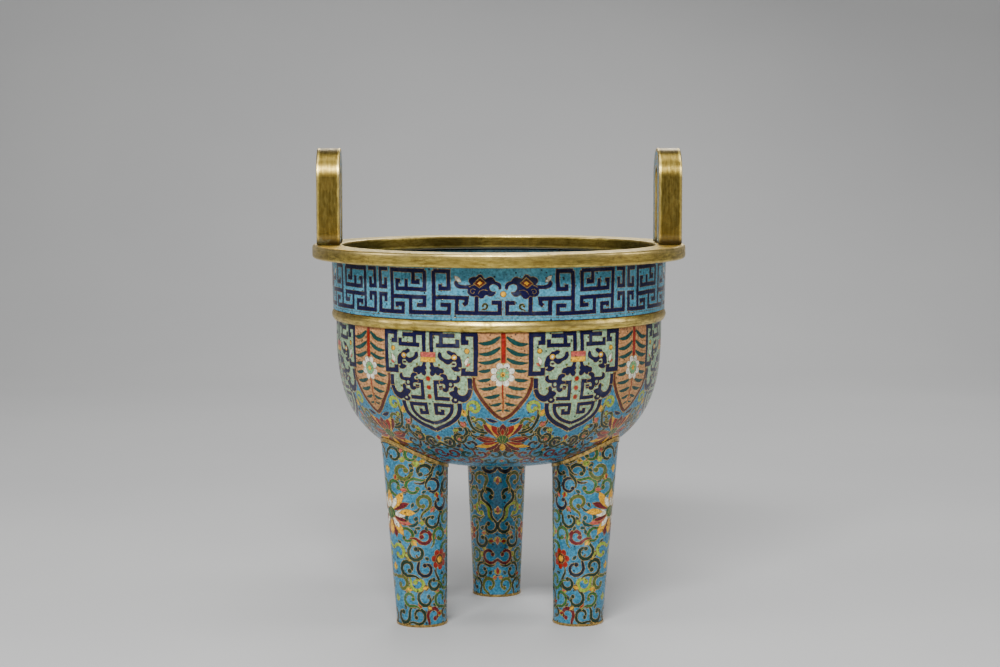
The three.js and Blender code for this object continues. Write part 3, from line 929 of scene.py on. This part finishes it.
# Wear and painted highlight: where the share is above zero, the corners, the rim's outer face and the
# band's bulge are painted brighter.
wear_and_highlight_share = maths(
    node, "MULTIPLY", maths(node, "MAXIMUM", wear_and_light_share, 0.0), ramp(node, stain, 0.36, 0.56, 1.0, 0.35),
)
rubbed = blended(node, wear_and_highlight_share, with_painted_shade, WORN_AND_HIGHLIGHT_BRIGHT)
above_ground = node("SeparateXYZ", Vector=where).outputs[2]
above_rim = maths(node, "GREATER_THAN", above_ground, (RIM_TOP + 0.1) / 1000)
uneven = maths(node, "ADD", above_ground, maths(node, "MULTIPLY", stain, 0.003))
thinning = ramp(node, uneven, (RIM_TOP + CRUST_LOW) / 1000, (RIM_TOP + CRUST_HIGH) / 1000, 0.95, 0.0)
solder = maths(node, "MULTIPLY", above_rim, thinning)
crust = blended(node, ramp(node, stain, 0.52, 0.6), CRUST_BROWN, CRUST_GREEN)
height = maths(node, "ADD", maths(node, "MULTIPLY", hair, 0.6), maths(node, "MULTIPLY", stain, 0.5))
gilt_rough = maths(
    node, "ADD", ramp(node, hair, 0.3, 0.7, 0.24, 0.44), ramp(node, stain, 0.5, 0.7, 0.0, 0.24),
)
into_shader(
    Base_Color=blended(node, solder, rubbed, crust),
    Metallic=maths(node, "SUBTRACT", 1.0, solder),
    Roughness=maths(node, "ADD", gilt_rough, maths(node, "MULTIPLY", solder, 0.35)),
    Normal=node("Bump", Strength=0.45, Distance=0.0001, Height=height).outputs[0],
)


def corner_round(radius, height, size, start, steps, rub_and_light=1.0):
    """A quarter round of a section from a starting angle, and its share of wear and painted light, rubbed
    bright with painted highlight.
    """
    angle = np.radians(start + 90 * np.arange(steps + 1) / steps)
    return np.column_stack(
        [radius + size * np.cos(angle), height + size * np.sin(angle), np.full(steps + 1, rub_and_light)]
    )


def ring_piece(name, section, replaced, steps=192):
    """A turned ring from its closed section, with each corner's share of wear and painted light: rubbed
    bright with painted highlight above zero, painted shade below zero.
    """
    section = np.vstack([section, section[:1]])
    outline = section[:-1, :2]
    along = unit(np.roll(outline, -1, 0) - np.roll(outline, 1, 0))
    along = np.vstack([along, along[:1]])
    corners, normals, run = turned(section[:, :2], np.column_stack([along[:, 1], -along[:, 0]]), steps)
    triangles = grid(steps + 1, len(section))
    brush = run * [section[:, 0].mean(), 1.0]
    sheets = run / [2 * math.pi, brush[:, 0].max() / 6] * 0.98 + 0.01
    bare = np.full(len(triangles), BARE_METAL)
    part = (corners, normals, triangles, bare, sheets, brush, np.tile(section[:, 2], steps + 1))
    make_piece(name, [part], [gilt_material], replaced, True)


# Third column: the corners and the outer face are painted bright as wear and painted highlight, and the
# bore, below zero, is painted darker as painted shade.
ring_piece(
    "mouth_rim_gilt",
    np.vstack([
        corner_round(RIM_OUTER - RIM_EDGE, RIM_LOW + RIM_EDGE, RIM_EDGE, -90, 6, 0.15),
        [(RIM_OUTER, RIM_LOW + 2.8, 0.1), (RIM_OUTER, RIM_TOP - 2.8, 0.25)],
        corner_round(RIM_OUTER - RIM_EDGE, RIM_TOP - RIM_EDGE, RIM_EDGE, 0, 6),
        [(RIM_OUTER - 3.4, RIM_TOP, 0.1), (RIM_OUTER - 9, RIM_TOP, 0), (RIM_BORE + 2.2, RIM_TOP, 0.1)],
        corner_round(RIM_BORE + BORE_EDGE, RIM_TOP - BORE_EDGE, BORE_EDGE, 90, 4),
        [(RIM_BORE, RIM_TOP - 1.6, -0.5), (RIM_BORE, RIM_LOW + 2.2, -0.7)],
        corner_round(RIM_BORE + BORE_EDGE, RIM_LOW + BORE_EDGE, BORE_EDGE, 180, 4),
        [(RIM_BORE + 9, RIM_LOW, 0)],
    ]),
    "mouth_rim",
)
share = np.linspace(0, 1, 13)
band_out = BAND_EDGE + BAND_BULGE * np.sin(math.pi * share)
band_up = BAND_LOW + (BAND_HIGH - BAND_LOW) * share
# A bright stripe painted along the upper part of the band's bulge: rubbing on the crest and painted
# highlight together.
band_wear_and_highlight = 0.75 * np.exp(-(((share - 0.6) / 0.22) ** 2))
band_bulge = np.column_stack([band_out, band_up, band_wear_and_highlight])
ring_piece(
    "waist_band_gilt",
    np.vstack([[(BAND_SEAT, BAND_LOW, 0)], band_bulge, [(BAND_SEAT, BAND_HIGH, 0)]]),
    "waist_band",
)

# The handles: two upright loops of thick gilt plate soldered on the rim, each with a turquoise
# panel of scrolls let into its two broad faces, and bare gilt edges rubbed along the loop. The edges'
# rounded corners are painted bright, wear and painted highlight together, and their middles are
# painted darker as painted shade.
handle_low, handle_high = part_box("handle_right")
HANDLE_FACE, HANDLE_THICK = measured(handle_high.x), measured(handle_high.x - handle_low.x)
HANDLE_HALF, HANDLE_ARM = measured(handle_high.y), 12.0
HANDLE_FOOT, HANDLE_TALL = measured(handle_low.z - RIM_TOP / 1000), measured(handle_high.z - RIM_TOP / 1000)
HANDLE_ROUND, PANEL_INSET = 0.7, 1.8
SPRING = HANDLE_TALL - HANDLE_HALF  # where the arch begins
ARM_STEPS, ARCH_STEPS, GAP_STEPS = 9, 28, 16


def loop_outline(grow):
    """The loop's outline seen from the side: out round the arch and back round the gap."""
    half, gap = HANDLE_HALF + grow, HANDLE_HALF - HANDLE_ARM - grow
    up = np.linspace(HANDLE_FOOT - grow, SPRING, ARM_STEPS + 1)[:-1]
    out, back = np.linspace(0, math.pi, ARCH_STEPS + 1), np.linspace(math.pi, 0, GAP_STEPS + 1)

    def arm(across, heights):
        return np.column_stack([np.full(ARM_STEPS, across), heights])

    def arch(radius, angles):
        return np.column_stack([radius * np.cos(angles), SPRING + radius * np.sin(angles)])

    outer = [arm(half, up), arch(half, out), arm(-half, up[::-1])]
    return np.vstack(outer + [arm(-gap, up), arch(gap, back), arm(gap, up[::-1])])


plate = Drawing()
plate.fill(loop_outline(-PANEL_INSET), "turquoise")
arm_scrolls = [
    (5.4, "green"), (11.2, "navy"), (17.2, "leaf"), (23.2, "dark_green"), (29.2, "wine"),
    (35.2, "green"), (41.0, "teal"),
]
for side in (-1, 1):
    for k, (low, colour) in enumerate(arm_scrolls):
        way = 1 if k % 2 else -1
        plate.curl(side * (12.0 + 0.6 * way), low, 2.3, 1.2 + 0.8 * k, side * way, colour, 0.95, 1.0, 0.8)
        bud_outline = petal(
            (side * (12.0 - 2.9 * way), low + 1.8), (side * (12.0 - 2.2 * way), low + 4.6), 1.5,
        )
        plate.fill(bud_outline, ("red", "pink", "yellow")[k % 3], wire=0.28)
    plate.curl(side * 9.0, 48.8, 2.3, 2.0, side, "dark_green", 0.95, 1.0, 0.8)
    plate.curl(side * 4.2, 52.2, 2.0, 1.0, -side, "green", 0.9, 1.0, 0.8)
    plate.fill(petal((side * 11.8, 44.2), (side * 13.0, 47.2), 1.5), "red", wire=0.28)
plate.fill(oval(0, 53.2, 1.3), "yellow")
face_flat = cut(plate, loop_outline(-HANDLE_ROUND), "wire", 5.0)


def handle_parts(side):
    """Both broad faces and the bare edges of one handle."""

    def place(flat, depth):
        return np.column_stack(
            [np.full(len(flat), side * (HANDLE_FACE - depth)), flat[:, 0], RIM_TOP + flat[:, 1]]
        )

    flat, triangles, enamels = face_flat
    parts = []
    for depth, out in ((0.0, 1), (HANDLE_THICK, -1)):
        facing = np.tile([side * out, 0.0, 0.0], (len(flat), 1))
        sheets = flat / 130 + [0.18 if out > 0 else 0.52, 0.02]
        parts.append(
            (place(flat, depth), facing, triangles, enamels, sheets, flat[:, ::-1], np.zeros(len(flat)))
        )
    rounding = [  # growth of the outline, depth, how far it faces the broad face, and wear with painted light (bright corners; painted shade, below zero, on the edge's middle)
        (-HANDLE_ROUND, 0.0, 1.0, 0.6), (-HANDLE_ROUND * 0.3, HANDLE_ROUND * 0.3, 0.707, 1.0),
        (0.0, HANDLE_ROUND, 0.0, 0.9), (0.0, 1.9, 0.0, -0.75),
    ]
    rings = rounding + [
        (grow, HANDLE_THICK - depth, -facing, rub_and_light) for grow, depth, facing, rub_and_light in rounding[::-1]
    ]
    outline = loop_outline(0.0)
    ahead = unit(np.roll(outline, -1, 0) - np.roll(outline, 1, 0))
    across = np.column_stack([ahead[:, 1], -ahead[:, 0]])
    n = len(outline)
    length = np.concatenate(
        [[0], np.cumsum(np.hypot(*np.diff(np.vstack([outline, outline[:1]]), axis=0).T))]
    )
    corners, normals, brush, wear_and_light_share = [], [], [], []
    for grow, depth, facing, rub_and_light in rings:
        ring = loop_outline(grow)
        corners.append(place(np.vstack([ring, ring[:1]]), depth))
        normal = np.column_stack([np.full(n, side * facing), across * math.sqrt(1 - facing**2)])
        normals.append(np.vstack([normal, normal[:1]]))
        brush.append(np.column_stack([length, np.full(n + 1, depth)]))
        wear_and_light_share.append(np.full(n + 1, rub_and_light))
    triangles = grid(len(rings), n + 1)
    brush, bare = np.vstack(brush), np.full(len(triangles), BARE_METAL)
    sheets = brush / 270 + [0.01, 0.6]
    parts.append(
        (np.vstack(corners), np.vstack(normals), triangles, bare, sheets, brush, np.concatenate(wear_and_light_share))
    )
    return parts


for name, side in (("handle_right", 1), ("handle_left", -1)):
    make_piece(name + "_plate", handle_parts(side), [gilt_material, enamel_material], name, True)

# The legs: round columns of enamelled copper alloy, soldered under the bowl, with scrolling tendrils,
# a lotus on the outer side and a small red flower further round, and thin bare gilt lips at the joint
# and at the sole. Half the column is drawn flat, from its outermost line inwards, and turned over.
LEG_FLAT = 18.0  # the column's radius in the drawing
LEG_HALF = math.pi * LEG_FLAT
FOOT_LIP, JOINT_LIP, LIP_PROUD = 1.6, 1.8, 0.5
SOLE_RADIUS, SOLE_OUT = 15.3, 55.5
WIDENING, LEANING = 5.5 / 122, 5.1 / 122  # for each millimetre of height
LEG_STEPS, HEIGHT_STEPS = 37, 30


def leg_place(around_leg, height, proud):
    """A point on the column that leans out along +X."""
    radius = SOLE_RADIUS + WIDENING * height + proud
    out = SOLE_OUT + LEANING * height + radius * np.cos(around_leg)
    return np.column_stack([out, radius * np.sin(around_leg), height])


def joint_height(angle, gap, proud):
    """Where the column meets the bowl's surface grown by gap, found by halving."""
    low, high = 60.0, 121.0
    for _ in range(22):
        middle = (low + high) / 2
        x, y, z = leg_place(np.array([angle]), np.array([middle]), proud)[0]
        reach = math.hypot(x, y)
        within = z > np.interp(reach, belly_radius[::-1], belly_height[::-1])
        touches = within or np.hypot(belly_radius - reach, belly_height - z).min() < gap
        low, high = (low, middle) if touches else (middle, high)
    return low


angles = np.linspace(0, math.pi, LEG_STEPS)
top_edge, lip_top, lip_low = (
    np.array([joint_height(angle, gap, proud) for angle in angles])
    for gap, proud in ((GAP + JOINT_LIP, 0.0), (GAP, LIP_PROUD), (GAP + JOINT_LIP, LIP_PROUD))
)
BLOOM, FLOWER = (0.0, 70.0), (33.6, 41.8)


def blooms_near(x, y, reach):
    """Whether a spot is too near the lotus or the small flower."""
    lotus_near = math.hypot(x / (12.5 + reach), (y - BLOOM[1]) / (11.5 + reach)) < 1
    return lotus_near or math.hypot(x - FLOWER[0], y - FLOWER[1]) < 5.0 + reach


vine = Drawing()
scrollwork(vine, LEG_HALF, 2.2, 112.0, 11.2, 11, blooms_near, 1.75)
lotus(vine, *BLOOM, [
    ((1.0, -3.4), (4.2, -14.0), 4.2, 0.6, "wine"), ((1.6, -2.6), (9.8, -12.6), 4.6, 0.6, "yellow"),
    ((2.0, -2.0), (7.0, -7.6), 3.4, 0.0, "white"), ((3.0, -1.4), (15.4, -5.4), 3.4, -0.6, "pink"),
    ((3.0, -1.0), (13.0, -3.4), 2.2, -0.4, "wine"), ((3.4, 0.0), (12.2, 0.4), 4.2, 0.4, "white"),
    ((7.0, 1.0), (17.6, 1.6), 3.8, 0.6, "yellow"), ((3.0, 2.2), (14.2, 7.4), 3.4, 0.4, "wine"),
    ((2.0, 2.6), (10.4, 14.0), 4.6, -0.6, "yellow"), ((1.4, 3.0), (5.8, 10.0), 3.6, 0.0, "white"),
    ((0.0, 3.4), (0.0, 14.4), 5.4, 0.0, "yellow"), ((0.0, 3.4), (0.0, 9.4), 2.6, 0.0, "white"),
    ((0.0, -3.4), (0.0, -13.0), 4.6, 0.0, "yellow"),
])
petal_ring(vine, *FLOWER, 7, 4.3, 2.2, 1.9, "red", 0.3)
vine.fill(oval(*FLOWER, 3.2), "brown")
vine.fill(oval(*FLOWER, 1.9), "yellow")

leg_border = np.concatenate([
    np.column_stack([angles * LEG_FLAT, np.full(LEG_STEPS, FOOT_LIP)])[:-1],
    np.column_stack([np.full(26, LEG_HALF), np.linspace(FOOT_LIP, top_edge[-1], 26)])[:-1],
    np.column_stack([angles * LEG_FLAT, top_edge])[::-1][:-1],
    np.column_stack([np.zeros(HEIGHT_STEPS), np.linspace(top_edge[0], FOOT_LIP, HEIGHT_STEPS)])[:-1],
])
flat, triangles, enamels = cut(vine, leg_border, "deep_turquoise")
LEG_STRAY, STEADY_ABOVE = 0.9, 88.0  # the wires keep to the drawing where the joint cuts them


def lean_normals(around_leg):
    """The column's normals, which face a little down because it widens and leans out upwards."""
    return np.column_stack(
        [np.cos(around_leg), np.sin(around_leg), -WIDENING - LEANING * np.cos(around_leg)]
    )


leg_parts = []
for side in (1, -1):
    angle = side * flat[:, 0] / LEG_FLAT
    place = leg_place(angle, flat[:, 1], 0.0)
    stray = LEG_STRAY * strayed(place, flat[:, 1] - FOOT_LIP, STEADY_ABOVE - flat[:, 1], 0.05)
    corners = leg_place(angle + stray[:, 0] / LEG_FLAT, flat[:, 1] + stray[:, 1], 0.0)
    sheets = np.column_stack([0.5 + side * flat[:, 0] / 120, flat[:, 1] / 125 + 0.06])
    leg_parts.append((corners, lean_normals(angle), triangles, enamels, sheets))

round_leg = np.concatenate([angles, 2 * math.pi - angles[::-1][1:]])
n = len(round_leg)
down, up = np.tile([0, 0, -1.0], (n, 1)), np.tile([0, 0, 1.0], (n, 1))
lip_triangles = grid(2, n)
bare = np.full(len(lip_triangles), BARE_METAL)
for low, high, row in ((np.zeros(LEG_STEPS), np.full(LEG_STEPS, FOOT_LIP), 0.0), (lip_low, lip_top, 0.965)):
    low, high = (np.concatenate([edge, edge[::-1][1:]]) for edge in (low, high))
    bends = [(low, 0.0), (low, LIP_PROUD), (high, LIP_PROUD), (high, 0.0)]
    for k, normal in enumerate((down, lean_normals(round_leg), up)):
        corners = np.vstack([leg_place(round_leg, *bends[k]), leg_place(round_leg, *bends[k + 1])])
        sheet_rows = np.repeat(row + 0.01 * np.array([k, k + 0.9]), n)
        sheets = np.column_stack([np.tile(np.linspace(0.02, 0.98, n), 2), sheet_rows])
        leg_parts.append((corners, np.vstack([normal, normal]), lip_triangles, bare, sheets))
sole = np.vstack([leg_place(round_leg, np.zeros(n), 0.0), [(SOLE_OUT, 0, 0)]])
fan = np.array([[n, i, i + 1] for i in range(n - 1)])
sole_sheets = sole[:, :2] / 1200 + [-0.02, 0.045]
leg_parts.append((sole, np.tile([0, 0, -1.0], (n + 1, 1)), fan, np.full(n - 1, BARE_METAL), sole_sheets))

for name, turn in (("leg_front_right", -30), ("leg_back", 90), ("leg_front_left", 210)):
    c, s = math.cos(math.radians(turn)), math.sin(math.radians(turn))
    spin = np.array([[c, s, 0], [-s, c, 0], [0, 0, 1]])
    parts = [(corners @ spin, normals @ spin, *rest) for corners, normals, *rest in leg_parts]
    make_piece(name + "_enamel", parts, [enamel_material], name)

# The studio: a pale floor that sweeps up behind, a soft light high in front as in the photograph,
# weaker ones above, at the sides and behind, and the camera where the photograph was taken from.
floor_material, node, into_shader = new_material("pale_floor")
where = node("TexCoord").outputs["Object"]
cloudy = node("TexNoise", Vector=where, Scale=3.0, Detail=3.0).outputs[0]
paper = blended(node, ramp(node, cloudy, 0.3, 0.7), (0.50, 0.50, 0.50, 1), (0.53, 0.53, 0.525, 1))
into_shader(Base_Color=paper, Roughness=0.75)
FLOOR_FRONT, FLOOR_BACK, FLOOR_SIDE, BEND, BACK_TOP = -7.0, 1.2, 9.0, 0.8, 4.0  # metres
bend = np.linspace(0.1, math.pi / 2, 14)
sweep = [(FLOOR_FRONT, 0.0), (FLOOR_BACK, 0.0)]
sweep += [(FLOOR_BACK + BEND * math.sin(a), BEND - BEND * math.cos(a)) for a in bend]
sweep += [(FLOOR_BACK + BEND, BACK_TOP)]
n = len(sweep)
mesh = bpy.data.meshes.new("floor")
edges = [(x, y, z) for x in (-FLOOR_SIDE, FLOOR_SIDE) for y, z in sweep]
mesh.from_pydata(edges, [], [(i, n + i, n + i + 1, i + 1) for i in range(n - 1)])
mesh.shade_smooth()
mesh.materials.append(floor_material)
floor = bpy.data.objects.new("floor", mesh)
bpy.context.scene.collection.objects.link(floor)

LIT_SPOT = Vector((0, 0, 0.16))
for name, place, size, power in [
    ("key", (-0.25, -1.25, 1.14), (0.7, 0.26), 33),
    ("above", (0.1, -0.2, 1.7), (0.9, 0.7), 10),
    ("left", (-1.5, -0.3, 0.8), (0.6, 0.9), 6),
    ("right", (1.5, -0.2, 0.8), (0.6, 0.9), 6),
    ("behind", (0.2, 1.5, 1.2), (0.9, 0.6), 12),
]:
    lamp = bpy.data.lights.new(name, "AREA")
    lamp.shape = "RECTANGLE"
    lamp.size, lamp.size_y = size
    lamp.energy = power
    held = bpy.data.objects.new(name, lamp)
    held.location = place
    held.rotation_euler = (LIT_SPOT - Vector(place)).to_track_quat("-Z", "Y").to_euler()
    bpy.context.scene.collection.objects.link(held)
world = bpy.data.worlds.new("studio")
world.use_nodes = True
background = world.node_tree.nodes["Background"]
background.inputs["Color"].default_value = (0.92, 0.95, 1.0, 1)
background.inputs["Strength"].default_value = 0.08
bpy.context.scene.world = world

CAMERA_DOWN, CAMERA_TURN = 0.0958, -0.026  # radians
view = bpy.data.cameras.new("camera")
view.sensor_width = 36
view.lens = 75.48
camera = bpy.data.objects.new("camera", view)
camera.location = (-0.0331, -1.2996, 0.30086)
camera.rotation_euler = (math.pi / 2 - CAMERA_DOWN, 0, CAMERA_TURN)
bpy.context.scene.collection.objects.link(camera)
bpy.context.scene.camera = camera
